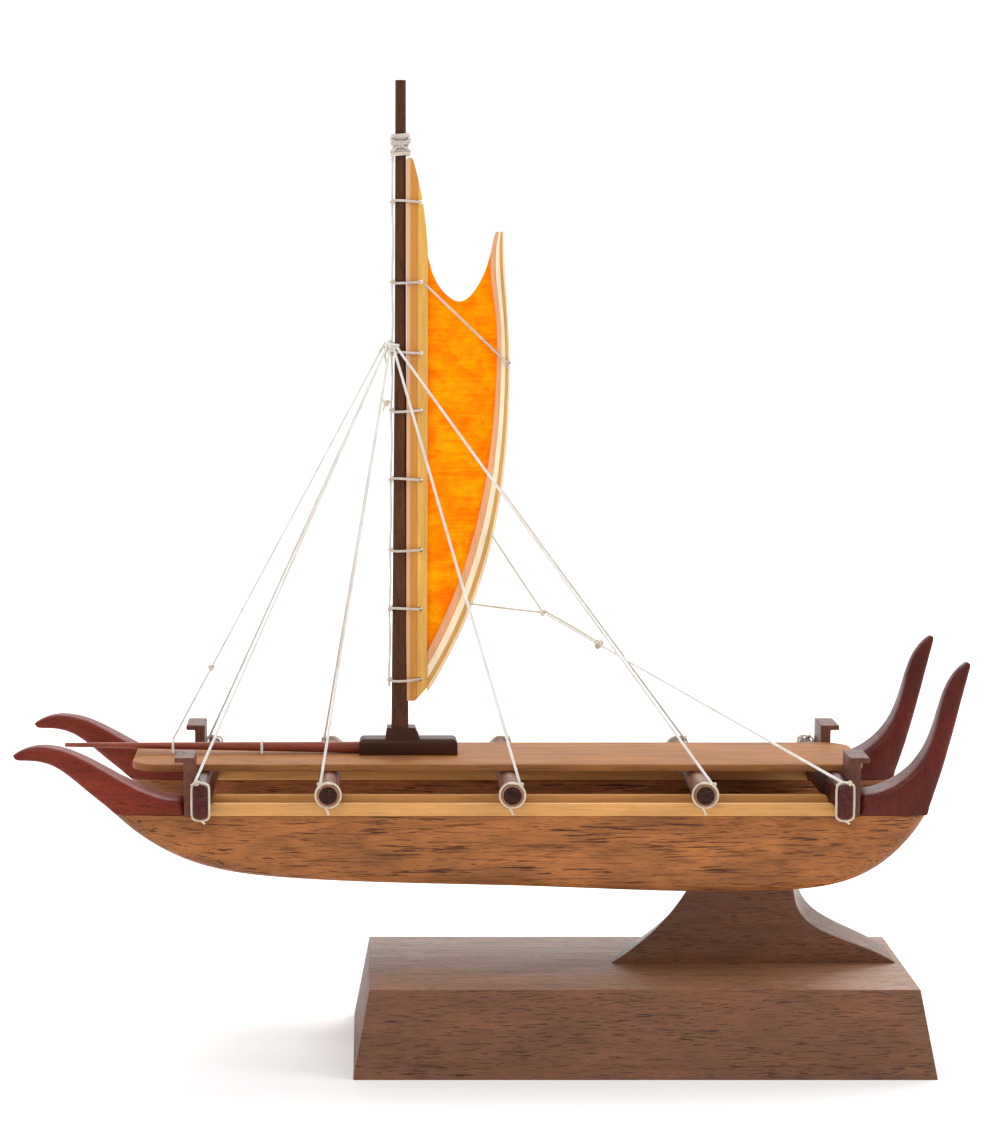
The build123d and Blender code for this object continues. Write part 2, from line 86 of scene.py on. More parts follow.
ROBAND_HEIGHTS = (0.15655, 0.14195, 0.1289, 0.1184, 0.1055, 0.0925, 0.08145, 0.0683)
ROBAND_HOLE_X = -0.04005
ROBAND_SLANTS = (0.0003, -0.0002, 0.0002, -0.0003)
SPAR_FACE_Y = 0.0012
LACING_ROUTE = (
    (-0.0453, -0.0003, 0.164), (-0.04543, -0.0002, 0.15655), (-0.04513, -0.0003, 0.1492),
    (-0.04546, -0.0002, 0.14195), (-0.04515, -0.0003, 0.1354), (-0.0455, -0.0002, 0.1289),
    (-0.04522, -0.0003, 0.1236), (-0.04558, -0.0002, 0.1184), (-0.04531, -0.0003, 0.1119),
    (-0.04568, -0.0002, 0.1055), (-0.04541, -0.0003, 0.099), (-0.04578, -0.0002, 0.0925),
    (-0.04551, -0.0003, 0.087), (-0.04587, -0.0002, 0.08145), (-0.0456, -0.0003, 0.0749),
    (-0.04597, -0.0002, 0.0683), (-0.0458, -0.0002, 0.0668))

# Each band of the masthead lashing: name, lowest height, rise of a turn, number of turns, and how far
# it lies outside the first layer.
MASTHEAD_BANDS = (("middle", 0.1654, 0.00055, 6, 0.0), ("upper", 0.16845, 0.00025, 2, 0.00028),
                  ("under", 0.1675, -0.0002, 2, 0.0003), ("lower", 0.1651, 0.0002, 2, 0.0003))
MASTHEAD_MIDDLE = 0.167

BRIDLE_MEETING = (-0.0175, -0.0057, 0.0814)
BRIDLE_LEGS = ((-0.027, -0.00115, 0.0956), (-0.031, -0.00115, 0.0825))
BRACE_HEAD = (-0.0393, -0.00145, 0.1416)
BRACE_FOOT = (-0.0239, -0.00145, 0.1269)
BRACE_KNOT = (-0.0241, -0.00155, 0.1270)
SHEET_END = (0.035, -0.0258, 0.0533)
SHEET_STARTS_AT = 0.012
SHEET_KNOT_AT = 0.19

LASHING_Y = 0.0257
LASHING_LIFT = 0.0003
BEAM_TIE_DEGREES = 50
SPRIT_TIES_X = (-0.0696, -0.0862)

# Guide points round a post stand this much farther out than the smooth loop that they draw.
POST_GUIDE = 1.035
BEAM_GUIDE = 1.03

# ---------------------------------------------------------------- making and light

STEPS_PER_TWIST = 9
STRAND_SIDES = 6
STRAND_SWELL = 1.06
KNOT_POINTS = 27
KNOT_DEPTH = 1.125
STAY_SAG = 0.0015

CARVING_GRID = 0.0003
CARVING_PASSES = 60
CRISP_FOOT = 0.0015
CRISP_TIP = 0.009

GRAIN_TURNS = {"X": (0, 0, 0), "Y": (0, 0, -math.pi / 2), "Z": (0, math.pi / 2, 0)}
BAND_BLUR = 0.00012
# Bands of the luff spar: where each starts, its colour and strength. The last only ends the others.
# The first, pinkish band along the spar's rounded left edge is a painted highlight.
SPAR_BANDS_WITH_HIGHLIGHT = ((-0.0430, (214, 164, 132), 0.85), (-0.0420, (190, 126, 56), 0.85),
              (-0.0409, (176, 108, 44), 0.8), (-0.0406, (0, 0, 0), 0.0))
# The boom's strips from the sail outwards: frame piece, colour and finish.
BOOM_LAYERS = (("boom_inner", (224, 160, 116), "boom_salmon"),
               ("boom_cream", (246, 222, 190), "boom_cream"),
               ("boom_core", (206, 156, 84), "boom_gold"),
               ("boom_outer", (242, 208, 168), "boom_cream"))

MODEL_MIDDLE = (-0.02, 0.0, 0.07)
SWEEP_WALL = (0.0, 1.4, 0.5)
# Each soft box: name, place, size, share of the key light's power, and what it faces.
LIGHTS = (("key_light", (-0.35, -0.45, 0.75), 0.45, 0.55, MODEL_MIDDLE),
          ("back_light", (0.1, 0.6, 0.75), 0.8, 1.7, MODEL_MIDDLE),
          ("side_light", (0.75, -0.2, 0.4), 0.35, 0.4, MODEL_MIDDLE),
          ("wall_light", (0.0, 0.5, 1.3), 0.8, 0.8, SWEEP_WALL))
FLOOR_FRONT = -2.0
FLOOR_BACK = 0.9
SWEEP_RADIUS = 0.5
SWEEP_STEPS = 12
SWEEP_TOP = 3.0
SWEEP_HALF_WIDTH = 3.0


# ---------------------------------------------------------------- settings

def tint(red, green, blue):
    """A colour written as on a paint card, turned into linear light."""
    return tuple(((c / 255 + 0.055) / 1.055) ** 2.4 if c > 10 else c / 3294.6
                 for c in (red, green, blue))


def colour(name, description, card):
    """A colour setting with its default on a paint card's scale."""
    return FloatVectorProperty(name=name, description=description, subtype="COLOR", size=3,
                               min=0.0, max=1.0, default=tint(*card))


class CanoeWoods(bpy.types.PropertyGroup):
    """Colours of the model's woods."""
    hull: colour("Hull", "Golden brown of the two hulls", (154, 98, 58))
    hull_pore: colour("Hull pores", "Dark streaks in the hulls", (70, 40, 28))
    deck: colour("Deck", "Lighter golden brown of the deck board", (150, 102, 62))
    strip: colour("Gunwale strips", "Pale strips along the hulls", (204, 150, 90))
    stern: colour("Stern horns", "Dark red wood of the upright ends", (88, 32, 24))
    bow: colour("Bow pieces", "Red wood of the swept bows", (112, 43, 28))
    # The paler stand top is painted light: the top face's walnut is lightened for the light and sheen
    # that fall on it.
    painted_light_stand_top: colour("Stand top", "Paler sanded face on top of the base", (150, 108, 80))
    stand: colour("Stand", "Walnut of the base and pedestal", (112, 74, 52))
    beam: colour("Beams", "Brown of the round cross beams", (112, 72, 50))
    mast: colour("Mast", "Dark walnut of the mast and its step", (84, 52, 36))
    spar: colour("Luff spar", "Yellow wood beside the mast", (218, 166, 84))
    sail: colour("Sail", "Orange dye of the thin sail", (252, 130, 0))


class CanoeThreads(bpy.types.PropertyGroup):
    """Sizes and colours of the rigging thread."""
    thickness: FloatProperty(name="Thread thickness", description="Diameter of the stay thread",
                             default=0.00055, min=0.0003, max=0.001, unit="LENGTH")
    fine: FloatProperty(name="Fine thread", description="Diameter of the forestay and mast line",
                        default=0.0005, min=0.0003, max=0.001, unit="LENGTH")
    twist: FloatProperty(name="Twist length", description="Length of one full turn of the strands",
                         default=0.0016, min=0.0008, max=0.004, unit="LENGTH")
    strands: IntProperty(name="Strands", description="Strands twisted into one thread", default=3,
                         min=2, max=4)
    white: colour("Thread", "White of the stays", (244, 241, 236))
    cream: colour("Knots", "Cream of the knots and the sheet", (232, 220, 198))


class CanoeStage(bpy.types.PropertyGroup):
    """The camera and light that the model is shown in."""
    eye: FloatVectorProperty(name="Camera place", description="Where the camera stands",
                             subtype="TRANSLATION",
                             unit="LENGTH", size=3, default=(-0.0494, -0.578, 0.152))
    pitch: FloatProperty(name="Camera pitch", description="How far the camera looks down",
                         subtype="ANGLE",
                         unit="ROTATION", default=math.radians(6.12))
    lens: FloatProperty(name="Focal length", description="Camera lens in millimetres",
                        default=100.13, min=20)
    shift: FloatProperty(name="Sideways shift", description="Lens shift across the frame",
                         default=0.1156)
    key: FloatProperty(name="Key light", description="Power of the main soft light in watts",
                       default=4.0, min=0)
    fill: FloatProperty(name="Room light", description="Strength of the light from all round",
                        default=0.78, min=0)


# ---------------------------------------------------------------- finishes

def fresh_material(name):
    """An empty material with its shader and the place of each point on the model."""
    mat = bpy.data.materials.new(name)
    mat.use_nodes = True
    nodes = mat.node_tree.nodes
    place = nodes.new("ShaderNodeTexCoord")
    return mat, mat.node_tree, nodes["Principled BSDF"], place.outputs["Object"]


def speckle(tree, place, scale, detail=3.0, roughness=0.55, distortion=0.0, offset=0.0):
    """Noise with its own size along each axis, as features per metre."""
    fit = tree.nodes.new("ShaderNodeMapping")
    fit.inputs["Scale"].default_value = scale
    fit.inputs["Location"].default_value = (offset, offset * 0.7, -offset)
    tree.links.new(place, fit.inputs["Vector"])
    noise = tree.nodes.new("ShaderNodeTexNoise")
    noise.inputs["Scale"].default_value = 1.0
    noise.inputs["Detail"].default_value = detail
    noise.inputs["Roughness"].default_value = roughness
    noise.inputs["Distortion"].default_value = distortion
    tree.links.new(fit.outputs["Vector"], noise.inputs["Vector"])
    return noise.outputs["Fac"]


def spread(tree, value, low, high, to_low=0.0, to_high=1.0):
    """A value stretched from one range to another and kept inside it."""
    fit = tree.nodes.new("ShaderNodeMapRange")
    fit.inputs["From Min"].default_value = low
    fit.inputs["From Max"].default_value = high
    fit.inputs["To Min"].default_value = to_low
    fit.inputs["To Max"].default_value = to_high
    tree.links.new(value, fit.inputs["Value"])
    return fit.outputs["Result"]


def blended(tree, share, first, second):
    """One colour turned into another by a share."""
    mix = tree.nodes.new("ShaderNodeMix")
    mix.data_type = "RGBA"
    for socket, value in ((mix.inputs[6], first), (mix.inputs[7], second)):
        if isinstance(value, bpy.types.NodeSocket):
            tree.links.new(value, socket)
        else:
            socket.default_value = (*value[:3], 1.0)
    tree.links.new(share, mix.inputs[0])
    return mix.outputs[2]


def times(tree, first, second):
    """Two values multiplied."""
    node = tree.nodes.new("ShaderNodeMath")
    node.operation = "MULTIPLY"
    for socket, value in zip(node.inputs, (first, second)):
        if isinstance(value, bpy.types.NodeSocket):
            tree.links.new(value, socket)
        else:
            socket.default_value = value
    return node.outputs[0]


def raised(tree, shader, height, distance, strength=1.0):
    """Fine relief on the surface from a height value."""
    bump = tree.nodes.new("ShaderNodeBump")
    bump.inputs["Distance"].default_value = distance
    bump.inputs["Strength"].default_value = strength
    tree.links.new(height, bump.inputs["Height"])
    tree.links.new(bump.outputs["Normal"], shader.inputs["Normal"])


def shaded(card, amount):
    """A colour made darker or lighter by a factor."""
    return tuple(min(1.0, c * amount) for c in card)


def wood_finish(name, base, pore, grain="X", figure=0.35, pores=0.6, pore_length=1.0,
                pore_width=1.0, polish=0.5, shine=0.16, offset=0.0, bands=()):
    """Solid wood: broad figure, growth lines, open pores and fibre along one axis."""
    mat, tree, shader, place = fresh_material(name)
    turn = tree.nodes.new("ShaderNodeMapping")
    turn.inputs["Rotation"].default_value = GRAIN_TURNS[grain]
    turn.inputs["Location"].default_value = (offset, offset, offset)
    tree.links.new(place, turn.inputs["Vector"])
    along = turn.outputs["Vector"]
    long_pore = (330 / pore_length, 2600 / pore_width, 2600 / pore_width)
    short_pore = (900 / pore_length, 5200 / pore_width, 5200 / pore_width)
    broad = speckle(tree, along, (60, 210, 210), detail=4, roughness=0.6, distortion=0.6,
                    offset=3.0)
    lines = speckle(tree, along, (45, 900, 900), detail=3, roughness=0.6, distortion=0.8,
                    offset=9.0)
    long_pores = speckle(tree, along, long_pore, detail=2, roughness=0.5, distortion=0.5,
                         offset=5.0)
    short_pores = speckle(tree, along, short_pore, detail=2, roughness=0.5, distortion=0.3,
                          offset=2.0)
    clusters = speckle(tree, along, (60, 420, 420), detail=2, roughness=0.5, distortion=0.4,
                       offset=7.0)
    fibre = speckle(tree, along, (260, 9000, 9000), detail=2, roughness=0.6, offset=1.0)
    warm = (min(1.0, base[0] * (1 + figure)), base[1] * (1 + figure * 0.75),
            base[2] * (1 + figure * 0.3))
    body = blended(tree, spread(tree, broad, 0.34, 0.66), shaded(base, 1 - figure), warm)
    body = blended(tree, spread(tree, lines, 0.42, 0.72, 0.0, 0.45), body, shaded(base, 0.6))
    body = blended(tree, spread(tree, fibre, 0.35, 0.75, 0.0, 0.22), body, shaded(base, 1.35))
    body = blended(tree, spread(tree, short_pores, 0.56, 0.66, 0.0, pores * 0.6), body,
                   shaded(pore, 1.5))
    mask = times(tree, spread(tree, long_pores, 0.565, 0.615),
                 spread(tree, clusters, 0.38, 0.56, 0.4, 1.0))
    mask = times(tree, mask, pores)
    body = blended(tree, mask, body, pore)
    if bands:
        body = banded(tree, place, body, bands)
    tree.links.new(body, shader.inputs["Base Color"])
    tree.links.new(spread(tree, lines, 0.3, 0.7, polish - 0.07, polish + 0.1),
                   shader.inputs["Roughness"])
    shader.inputs["Specular IOR Level"].default_value = shine
    height = blended(tree, mask, (0.6, 0.6, 0.6), (0.1, 0.1, 0.1))
    height = blended(tree, spread(tree, fibre, 0.3, 0.7, 0.0, 0.35), height, (1, 1, 1))
    raised(tree, shader, height, distance=0.00006, strength=0.55)
    return mat


def banded(tree, place, body, bands):
    """The wood crossed by upright bands of their own colours, each from its X to the next one's."""
    parts = tree.nodes.new("ShaderNodeSeparateXYZ")
    tree.links.new(place, parts.inputs[0])
    for (start, card, share), (stop, _, _) in zip(bands, bands[1:]):
        after = spread(tree, parts.outputs["X"], start - BAND_BLUR, start + BAND_BLUR)
        before = spread(tree, parts.outputs["X"], stop - BAND_BLUR, stop + BAND_BLUR, 1.0, 0.0)
        inside = times(tree, after, before)
        body = blended(tree, times(tree, inside, share), body, tint(*card))
    return body


def end_grain_finish(name, base, ring):
    """The cut end of a dowel: nearly black, with faint pores and rings."""
    mat, tree, shader, place = fresh_material(name)
    dots = speckle(tree, place, (4200, 900, 4200), detail=2, roughness=0.5)
    rings = speckle(tree, place, (700, 200, 1500), detail=3, roughness=0.6, distortion=1.4)
    body = blended(tree, spread(tree, rings, 0.35, 0.7), base, ring)
    body = blended(tree, spread(tree, dots, 0.58, 0.66, 0.0, 0.7), body, shaded(base, 0.35))
    tree.links.new(body, shader.inputs["Base Color"])
    shader.inputs["Roughness"].default_value = 0.6
    shader.inputs["Specular IOR Level"].default_value = 0.1
    raised(tree, shader, dots, distance=0.00005, strength=0.5)
    return mat


def sail_finish(name, base):
    """Dyed veneer with a level grain, blotches of deeper dye and a worn sheen."""
    mat, tree, shader, place = fresh_material(name)
    blotch = speckle(tree, place, (230, 100, 260), detail=5, roughness=0.65, distortion=0.5,
                     offset=2.0)
    grain = speckle(tree, place, (190, 1000, 2600), detail=4, roughness=0.7, distortion=0.4,
                    offset=4.0)
    flecks = speckle(tree, place, (900, 2000, 5200), detail=2, roughness=0.5, distortion=0.2,
                     offset=6.0)
    deep = (base[0] * 0.97, base[1] * 0.8, 0.0)
    bright = (1.0, min(1.0, base[1] * 1.75), 0.001)
    body = blended(tree, spread(tree, blotch, 0.38, 0.64), deep, bright)
    parts = tree.nodes.new("ShaderNodeSeparateXYZ")
    tree.links.new(place, parts.inputs[0])
    body = blended(tree, spread(tree, parts.outputs["Z"], 0.132, 0.146, 0.0, 0.7), body,
                   (0.96, 0.2, 0.0))
    body = blended(tree, spread(tree, grain, 0.44, 0.70, 0.0, 0.6), body, (0.84, 0.15, 0.0))
    body = blended(tree, spread(tree, grain, 0.50, 0.34, 0.0, 0.35), body, (1.0, 0.36, 0.004))
    body = blended(tree, spread(tree, flecks, 0.64, 0.70, 0.0, 0.5), body, (0.55, 0.09, 0.0))
    tree.links.new(body, shader.inputs["Base Color"])
    tree.links.new(spread(tree, grain, 0.3, 0.7, 0.5, 0.66), shader.inputs["Roughness"])
    shader.inputs["Specular IOR Level"].default_value = 0.02
    raised(tree, shader, grain, distance=0.00008, strength=0.6)
    return mat


def thread_finish(name, base, shade):
    """Spun fibre: matt, a little fuzzy, darker where it is soiled. Each is made once."""
    made = bpy.data.materials.get(name)
    if made:
        return made
    mat, tree, shader, place = fresh_material(name)
    fibre = speckle(tree, place, (9000, 9000, 9000), detail=2, roughness=0.7)
    soil = speckle(tree, place, (260, 260, 260), detail=3, roughness=0.6, distortion=0.4)
    body = blended(tree, spread(tree, soil, 0.45, 0.75, 0.0, 0.6), base, shade)
    body = blended(tree, spread(tree, fibre, 0.4, 0.7, 0.0, 0.25), body, shaded(shade, 0.75))
    tree.links.new(body, shader.inputs["Base Color"])
    shader.inputs["Roughness"].default_value = 0.85
    shader.inputs["Sheen Weight"].default_value = 0.35
    shader.inputs["Sheen Roughness"].default_value = 0.5
    raised(tree, shader, fibre, distance=0.00003, strength=0.7)
    return mat


def floor_finish():
    """A plain pale sweep with the faintest unevenness."""
    mat, tree, shader, place = fresh_material("pale_paper")
    soft = speckle(tree, place, (6, 6, 6), detail=2)
    body = blended(tree, spread(tree, soft, 0.3, 0.7), (0.97, 0.97, 0.97), (0.99, 0.99, 0.985))
    tree.links.new(body, shader.inputs["Base Color"])
    shader.inputs["Roughness"].default_value = 0.9
    shader.inputs["Specular IOR Level"].default_value = 0.1
    return mat


# ---------------------------------------------------------------- making

def link(name, mesh, mats):
    """A mesh made into an object of the scene with its materials."""
    obj = bpy.data.objects.new(name, mesh)
    bpy.context.scene.collection.objects.link(obj)
    for mat in mats:
        mesh.materials.append(mat)
    return obj


def smoothed(obj, angle=35):
    """Shading that is smooth over gentle turns and crisp over sharp ones."""
    mesh = obj.data
    for face in mesh.polygons:
        face.use_smooth = True
    bm = bmesh.new()
    bm.from_mesh(mesh)
    for edge in bm.edges:
        if len(edge.link_faces) == 2:
            edge.smooth = edge.calc_face_angle(0.0) < math.radians(angle)
    bm.to_mesh(mesh)
    bm.free()


def softened(node, edge, mats, body="canoe", segments=3, pick=None, angle=32):
    """A frame piece rebuilt with its sharp edges rounded over, as sanding leaves them."""
    bm = bmesh.new()
    bm.from_mesh(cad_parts[node].data)
    bmesh.ops.remove_doubles(bm, verts=bm.verts, dist=2e-6)
    bmesh.ops.dissolve_limit(bm, angle_limit=math.radians(0.4), verts=bm.verts, edges=bm.edges)
    limit = math.radians(angle)
    sharp = [e for e in bm.edges if len(e.link_faces) == 2 and e.calc_face_angle(0.0) > limit]
    bmesh.ops.bevel(bm, geom=sharp, offset=edge, segments=segments, profile=0.5, affect="EDGES",
                    clamp_overlap=True)
    bmesh.ops.triangulate(bm, faces=[f for f in bm.faces if len(f.verts) > 4])
    if pick:
        for face in bm.faces:
            face.material_index = pick(face)
    mesh = bpy.data.meshes.new(node + "_finish")
    bm.to_mesh(mesh)
    bm.free()
    obj = link(node + "_finish", mesh, mats)
    smoothed(obj)
    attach(obj, body)
    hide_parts(node)


def carved(node, mat, tip):
    """A frame piece with its edges carved full and round, apart from its foot and its tip."""
    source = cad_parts[node]
    obj = link(node + "_finish", source.data.copy(), [])
    remesh = obj.modifiers.new("grid", "REMESH")
    remesh.mode = "VOXEL"
    remesh.voxel_size = CARVING_GRID
    bpy.context.view_layer.update()
    mesh = bpy.data.meshes.new_from_object(obj.evaluated_get(bpy.context.evaluated_depsgraph_get()))
    obj.modifiers.clear()
    obj.data = mesh
    mesh.materials.clear()
    mesh.materials.append(mat)
    foot = min(v.co.z for v in mesh.vertices)
    end = max((v.co for v in mesh.vertices), key=lambda co: co.dot(Vector(tip))).copy()
    bm = bmesh.new()
    bm.from_mesh(mesh)
    for face in bm.faces:
        face.material_index = 0
    worked = []
    for vert in bm.verts:
        share = min(1.0, (vert.co.z - foot) / CRISP_FOOT, 0.12 + (vert.co - end).length / CRISP_TIP)
        worked.append((share, vert))
    for k in range(CARVING_PASSES):
        chosen = [vert for share, vert in worked if share > (k + 0.5) / CARVING_PASSES]
        bmesh.ops.smooth_vert(bm, verts=chosen, factor=0.5, use_axis_x=True, use_axis_y=True,
                              use_axis_z=True)
    bm.to_mesh(mesh)
    bm.free()
    smoothed(obj, angle=40)
    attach(obj, "canoe")
    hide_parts(node)


def flowing(points, closed=False):
    """Points along the smooth line that a thread takes past its guide points."""
    curve = bpy.data.curves.new("guide", "CURVE")
    curve.dimensions = "3D"
    spline = curve.splines.new("NURBS")
    spline.points.add(len(points) - 1)
    for slot, point in zip(spline.points, points):
        slot.co = (*point, 1.0)
    spline.use_cyclic_u = closed
    spline.order_u = 3
    spline.use_endpoint_u = not closed
    spline.resolution_u = 16
    holder = bpy.data.objects.new("guide", curve)
    bpy.context.scene.collection.objects.link(holder)
    bpy.context.view_layer.update()
    mesh = bpy.data.meshes.new_from_object(holder)
    line = [v.co.copy() for v in mesh.vertices]
    bpy.data.objects.remove(holder)
    bpy.data.curves.remove(curve)
    bpy.data.meshes.remove(mesh)
    return line


def evenly(line, step, closed=False):
    """The same line with its points at even steps."""
    if closed:
        line = line + [line[0]]
    run = [0.0]
    for a, b in zip(line, line[1:]):
        run.append(run[-1] + (b - a).length)
    count = max(4, round(run[-1] / step))
    result, k = [], 0
    for i in range(count if closed else count + 1):
        goal = run[-1] * i / count
        while k < len(run) - 2 and run[k + 1] < goal:
            k += 1
        share = (goal - run[k]) / max(run[k + 1] - run[k], 1e-12)
        result.append(line[k].lerp(line[k + 1], share))
    return result, run[-1]


def spun_thread(name, line, diameter, mat, closed=False):
    """A thread of twisted strands that follows a line."""
    sizes = bpy.context.scene.canoe_threads
    strands, twist = sizes.strands, sizes.twist
    line, length = evenly(line, twist / STEPS_PER_TWIST, closed)
    count = len(line)
    turns = max(1, round(length / twist)) if closed else length / twist
    heading = []
    for i in range(count):
        after = line[(i + 1) % count] if closed or i < count - 1 else line[i]
        before = line[i - 1] if closed or i > 0 else line[i]
        heading.append((after - before).normalized())
    side = heading[0].orthogonal().normalized()
    sides = [side]
    for i in range(1, count):
        side = heading[i - 1].rotation_difference(heading[i]) @ side
        sides.append(side.normalized())
    drift = 0.0
    if closed:
        last = heading[-1].rotation_difference(heading[0]) @ sides[-1]
        drift = math.atan2(heading[0].dot(last.cross(sides[0])), last.dot(sides[0]))
    outer = diameter / 2
    ply = outer / (1 + 1 / math.sin(math.pi / strands)) if strands > 2 else outer / 2
    reach = outer - ply
    verts, faces = [], []
    for k in range(strands):
        start = len(verts)
        for i in range(count):
            share = i / count if closed else i / (count - 1)
            up = Quaternion(heading[i], drift * share) @ sides[i]
            across = heading[i].cross(up)
            phase = 2 * math.pi * (turns * share + k / strands)
            centre = line[i] + reach * (math.cos(phase) * up + math.sin(phase) * across)
            for j in range(STRAND_SIDES):
                around = phase + 2 * math.pi * j / STRAND_SIDES
                outward = math.cos(around) * up + math.sin(around) * across
                verts.append(centre + ply * STRAND_SWELL * outward)
        for i in range(count if closed else count - 1):
            here, there = start + i * STRAND_SIDES, start + ((i + 1) % count) * STRAND_SIDES
            for j in range(STRAND_SIDES):
                beside = (j + 1) % STRAND_SIDES
                faces.append((here + j, here + beside, there + beside, there + j))
        if not closed:
            last = start + (count - 1) * STRAND_SIDES
            faces.append(tuple(start + j for j in range(STRAND_SIDES))[::-1])
            faces.append(tuple(last + j for j in range(STRAND_SIDES)))
    mesh = bpy.data.meshes.new(name)
    mesh.from_pydata([tuple(v) for v in verts], [], faces)
    for face in mesh.polygons:
        face.use_smooth = True
    obj = link(name, mesh, [mat])
    return obj


def joined(name, pieces, body=None, node=None):
    """Several threads made into one piece, on its body and in the place of its frame piece."""
    bm = bmesh.new()
    mats = []
    for piece in pieces:
        mat = piece.data.materials[0]
        if mat not in mats:
            mats.append(mat)
        for face in piece.data.polygons:
            face.material_index = mats.index(mat)
        bm.from_mesh(piece.data)
    mesh = bpy.data.meshes.new(name)
    bm.to_mesh(mesh)
    bm.free()
    for piece in pieces:
        bpy.data.objects.remove(piece)
    obj = link(name, mesh, mats)
    if body:
        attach(obj, body)
    if node:
        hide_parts(node)
    return obj


def knot(name, centre, size, diameter, mat, facing=(0, -1, 0)):
    """A pulled-tight overhand knot: three crossed loops of the thread."""
    turn = Vector((0, 0, 1)).rotation_difference(Vector(facing))
    centre = Vector(centre)
    points = []
    for i in range(KNOT_POINTS):
        t = 2 * math.pi * i / KNOT_POINTS
        local = Vector((math.sin(t) + 2 * math.sin(2 * t), math.cos(t) - 2 * math.cos(2 * t),
                        -KNOT_DEPTH * math.sin(3 * t)))
        points.append(centre + turn @ (local * size / 3))
    return spun_thread(name, flowing(points, True), diameter, mat, closed=True)


def mast_radius(z):
    """The mast's radius at a height."""
    foot, middle, tip = MAST_RADII
    if z < MAST_TAPER_START:
        return foot
    if z < MAST_TAPER_END:
        span = MAST_TAPER_END - MAST_TAPER_START
        return foot + (middle - foot) * (z - MAST_TAPER_START) / span
    return middle + (tip - middle) * (z - MAST_TAPER_END) / (MAST_TOP - MAST_TAPER_END)


def taut(start, end, sag=0.004):
    """The guide points of a tight thread, with the little slack that it keeps."""
    start, end = Vector(start), Vector(end)
    middle = (start + end) / 2
    middle.z -= (end - start).length * sag
    return [tuple(start), tuple(middle), tuple(end)]


def threads():
    """The white and cream thread finishes, and a greyer one whose grey is painted shade."""
    look = bpy.context.scene.canoe_threads
    white = thread_finish("white_thread", look.white, (0.66, 0.60, 0.53))
    cream = thread_finish("cream_thread", look.cream, (0.50, 0.36, 0.24))
    # Painted shade: this thread is made greyer than the white one for the shading on the lashing's
    # turns; it also ties the robands and the brace.
    grey = thread_finish("painted_shade_grey_thread", tint(226, 214, 204), (0.36, 0.29, 0.24))
    return look, white, cream, grey


def cord_piece(node, route, diameter, mat, body="canoe"):
    """One tight thread along its route, in place of its frame piece."""
    line = flowing(route)
    obj = spun_thread(node + "_thread", line, diameter, mat)
    if body:
        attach(obj, body)
    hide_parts(node)
    return obj


def shroud_foot(number, side):
    """Where a shroud meets the lashing at its beam's end."""
    y = side * (LASHING_Y - 0.0003)
    if number == 1:
        low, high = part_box("end_beam_bow")
        return ((low.x + high.x) / 2 - 0.0012, y, high.z - 0.0002)
    low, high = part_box(f"cross_beam_{number - 1}")
    lean = -1 if number == 2 else 1
    ring = (high.x - low.x) / 2 + 0.000275
    turn = math.radians(BEAM_TIE_DEGREES)
    middle = (low + high) / 2
    return (middle.x + lean * ring * math.cos(turn), y, middle.z + ring * math.sin(turn))


# ---------------------------------------------------------------- operators

class CANOE_OT_stage(bpy.types.Operator):
    """Set up the camera, the pale floor and the soft studio light."""
    bl_idname = "canoe.stage"
    bl_label = "Stage"

    def execute(self, context):
        stage = context.scene.canoe_stage
        camera_data = bpy.data.cameras.new("model_camera")
        camera = bpy.data.objects.new("model_camera", camera_data)
        context.scene.collection.objects.link(camera)
        camera.location = stage.eye
        camera.rotation_euler = (math.pi / 2 - stage.pitch, 0, 0)
        camera_data.lens = stage.lens
        camera_data.sensor_width = 36.0
        camera_data.shift_x = stage.shift
        camera_data.clip_start = 0.01
        context.scene.camera = camera
        context.scene.view_settings.view_transform = "Standard"
        self.lay_floor()
        for name, place, size, share, faced in LIGHTS:
            self.hang_light(name, place, size, stage.key * share, faced)
        world = bpy.data.worlds.new("studio_room")
        context.scene.world = world
        world.use_nodes = True
        sky = world.node_tree.nodes["Background"]
        sky.inputs["Color"].default_value = (1.0, 1.0, 1.0, 1.0)
        sky.inputs["Strength"].default_value = stage.fill
        return {"FINISHED"}

    def lay_floor(self):
        """A floor that curves up behind the model as a paper sweep."""
        profile = [(FLOOR_FRONT, 0.0), (FLOOR_BACK, 0.0)]
        for i in range(1, SWEEP_STEPS + 1):
            turn = math.pi / 2 * i / SWEEP_STEPS
            profile.append((FLOOR_BACK + SWEEP_RADIUS * math.sin(turn),
                            SWEEP_RADIUS - SWEEP_RADIUS * math.cos(turn)))
        profile.append((FLOOR_BACK + SWEEP_RADIUS, SWEEP_TOP))
        verts, faces = [], []
        for x in (-SWEEP_HALF_WIDTH, SWEEP_HALF_WIDTH):
            verts += [(x, y, z) for y, z in profile]
        count = len(profile)
        for i in range(count - 1):
            faces.append((i, i + count, i + count + 1, i + 1))
        mesh = bpy.data.meshes.new("paper_sweep")
        mesh.from_pydata(verts, [], faces)
        for face in mesh.polygons:
            face.use_smooth = True
        link("paper_sweep", mesh, [floor_finish()])

    def hang_light(self, name, place, size, power, faced):
        """A square soft box that faces the model, or the sweep behind it."""
        data = bpy.data.lights.new(name, "AREA")
        data.shape = "SQUARE"
        data.size = size
        data.energy = power
        lamp = bpy.data.objects.new(name, data)
        bpy.context.scene.collection.objects.link(lamp)
        lamp.location = place
        aim = Vector(faced) - Vector(place)
        lamp.rotation_euler = aim.to_track_quat("-Z", "Y").to_euler()


